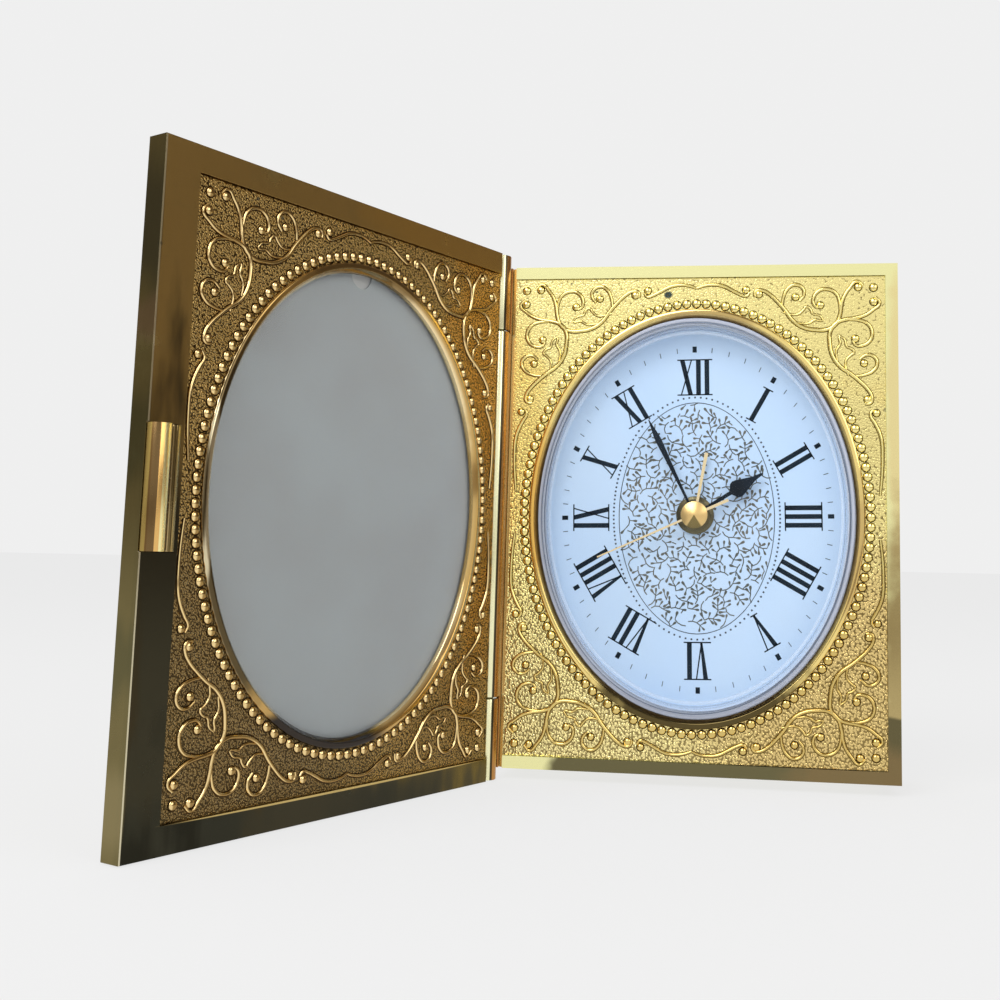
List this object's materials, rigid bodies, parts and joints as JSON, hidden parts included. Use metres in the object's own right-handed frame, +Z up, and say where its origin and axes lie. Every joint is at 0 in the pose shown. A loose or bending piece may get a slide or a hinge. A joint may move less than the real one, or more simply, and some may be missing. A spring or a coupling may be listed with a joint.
{
  "type": "folding desk clock",
  "caption": "Book-style folding desk alarm clock: a hinged lid with an oval picture frame beside a clock leaf with an oval dial, hands, movement and battery.",
  "frame": {"origin": "middle of the lower edge face of the clock leaf's back cover, where the clock stands", "axes": "+X along the clock leaf to its free side, +Z up, -Y out of the clock face; the lid is open to the left"},
  "size_m": [0.1136, 0.0946, 0.102],
  "materials": {
    "case_gold": "satin gold plate, lightly tarnished",
    "plate_gold": "stamped gold plate with a pebbled ground",
    "bezel_gold": "polished gold plate",
    "lid_gold": "satin gold plate, darker",
    "hinge_brass": "satin",
    "steel": "plain",
    "clear": "clear, polished",
    "dial_white": "matte white",
    "carton": "matte",
    "card_grey": "matte grey",
    "hand_black": "matte black",
    "hand_gold": "polished",
    "black_plastic": "fine matte",
    "gear_plastic": "natural",
    "red_plastic": "matte",
    "board_green": "solder mask",
    "copper": "enamelled wire",
    "magnet": "sintered",
    "battery_shell": "printed sleeve",
    "nut_dark": "darkened"
  },
  "bodies": {
    "clock": {"clock_frame": "case_gold", "clock_ornament_plate": "plate_gold", "clock_bezel": "bezel_gold", "crystal": "clear", "dial_surround": "dial_white", "dial": "dial_white", "dial_retainer": "carton", "back_cover": "case_gold", "clock_hinge_leaf": "hinge_brass", "hinge_pin": "steel", "movement_front_plate": "black_plastic", "movement_housing": "black_plastic", "mounting_nut": "nut_dark", "coil_core": "steel", "coil_bobbin": "gear_plastic", "coil_winding": "copper", "stator": "steel", "circuit_board": "board_green", "quartz_can": "steel", "buzzer": "black_plastic", "battery": "battery_shell", "battery_contact_negative": "steel", "battery_contact_positive": "steel", "back_cover_screw_1": "steel", "back_cover_screw_2": "steel", "back_cover_screw_3": "steel", "back_cover_screw_4": "steel", "movement_screw_1": "steel", "movement_screw_2": "steel", "movement_screw_3": "steel", "hinge_leaf_rivet_1": "hinge_brass", "hinge_leaf_rivet_2": "hinge_brass"},
    "lid": {"lid_frame": "lid_gold", "lid_ornament_plate": "plate_gold", "lid_bezel": "bezel_gold", "lid_window": "clear", "photo_card": "card_grey", "backing_pad": "carton", "lid_back_cover": "lid_gold", "lid_hinge_leaf": "hinge_brass", "clasp": "bezel_gold"},
    "minute": {"minute_hand": "hand_black", "cannon_pinion": "hand_gold"},
    "hour": {"hour_hand": "hand_black", "hour_wheel": "gear_plastic"},
    "time_setting": {"time_set_knob": "black_plastic", "motion_work_wheel": "gear_plastic"},
    "alarm": {"alarm_hand": "hand_gold", "alarm_wheel": "gear_plastic"},
    "alarm_setting": {"alarm_set_knob": "black_plastic", "alarm_setting_wheel": "gear_plastic"},
    "seconds": {"second_wheel": "gear_plastic", "second_hand": "hand_gold", "second_hand_cap": "hand_gold"},
    "intermediate": {"intermediate_wheel": "gear_plastic"},
    "rotor": {"rotor": "magnet"},
    "third": {"third_wheel": "gear_plastic"},
    "centre": {"centre_wheel": "gear_plastic"},
    "battery_door": {"battery_door": "black_plastic"},
    "alarm_switch": {"alarm_switch": "red_plastic"}
  },
  "joints": [
    {"name": "lid_hinge", "type": "hinge", "parent": "clock", "child": "lid", "pos_m": [-0.03973, -0.0183, 0.051], "axis": [0, 0, 1], "range_deg": [-65.5, 114.5]},
    {"name": "minute_turn", "type": "hinge", "parent": "clock", "child": "minute", "pos_m": [-0.00088, -0.00675, 0.051], "axis": [0, 1, 0], "continuous": true},
    {"name": "hour_turn", "type": "hinge", "parent": "clock", "child": "hour", "pos_m": [-0.00088, -0.00675, 0.051], "axis": [0, 1, 0], "continuous": true},
    {"name": "time_setting_turn", "type": "hinge", "parent": "clock", "child": "time_setting", "pos_m": [0.00243, -0.00675, 0.04528], "axis": [0, 1, 0], "continuous": true},
    {"name": "alarm_turn", "type": "hinge", "parent": "clock", "child": "alarm", "pos_m": [-0.00088, -0.00675, 0.051], "axis": [0, 1, 0], "continuous": true},
    {"name": "alarm_setting_turn", "type": "hinge", "parent": "clock", "child": "alarm_setting", "pos_m": [0.00533, -0.00675, 0.05621], "axis": [0, 1, 0], "continuous": true},
    {"name": "seconds_turn", "type": "hinge", "parent": "clock", "child": "seconds", "pos_m": [-0.00088, -0.00675, 0.051], "axis": [0, 1, 0], "continuous": true},
    {"name": "intermediate_turn", "type": "hinge", "parent": "clock", "child": "intermediate", "pos_m": [0.00543, -0.00675, 0.051], "axis": [0, 1, 0], "continuous": true},
    {"name": "rotor_turn", "type": "hinge", "parent": "clock", "child": "rotor", "pos_m": [0.00992, -0.00675, 0.051], "axis": [0, 1, 0], "continuous": true},
    {"name": "third_turn", "type": "hinge", "parent": "clock", "child": "third", "pos_m": [-0.00346, -0.00675, 0.05655], "axis": [0, 1, 0], "continuous": true},
    {"name": "centre_turn", "type": "hinge", "parent": "clock", "child": "centre", "pos_m": [-0.00088, -0.00675, 0.051], "axis": [0, 1, 0], "continuous": true},
    {"name": "battery_door_slide", "type": "slide", "parent": "clock", "child": "battery_door", "axis": [0, 0, 1], "range_m": [0, 0.006]},
    {"name": "alarm_switch_slide", "type": "slide", "parent": "clock", "child": "alarm_switch", "axis": [1, 0, 0], "range_m": [0, 0.003]}
  ],
  "couplings": [
    {"joint": "hour_turn", "follows": "minute_turn", "ratio": 0.083333},
    {"joint": "time_setting_turn", "follows": "minute_turn", "ratio": -0.33333},
    {"joint": "alarm_setting_turn", "follows": "alarm_turn", "ratio": -1.5},
    {"joint": "intermediate_turn", "follows": "seconds_turn", "ratio": -6},
    {"joint": "rotor_turn", "follows": "seconds_turn", "ratio": 30},
    {"joint": "third_turn", "follows": "seconds_turn", "ratio": -0.13333},
    {"joint": "centre_turn", "follows": "seconds_turn", "ratio": 0.016667}
  ]
}
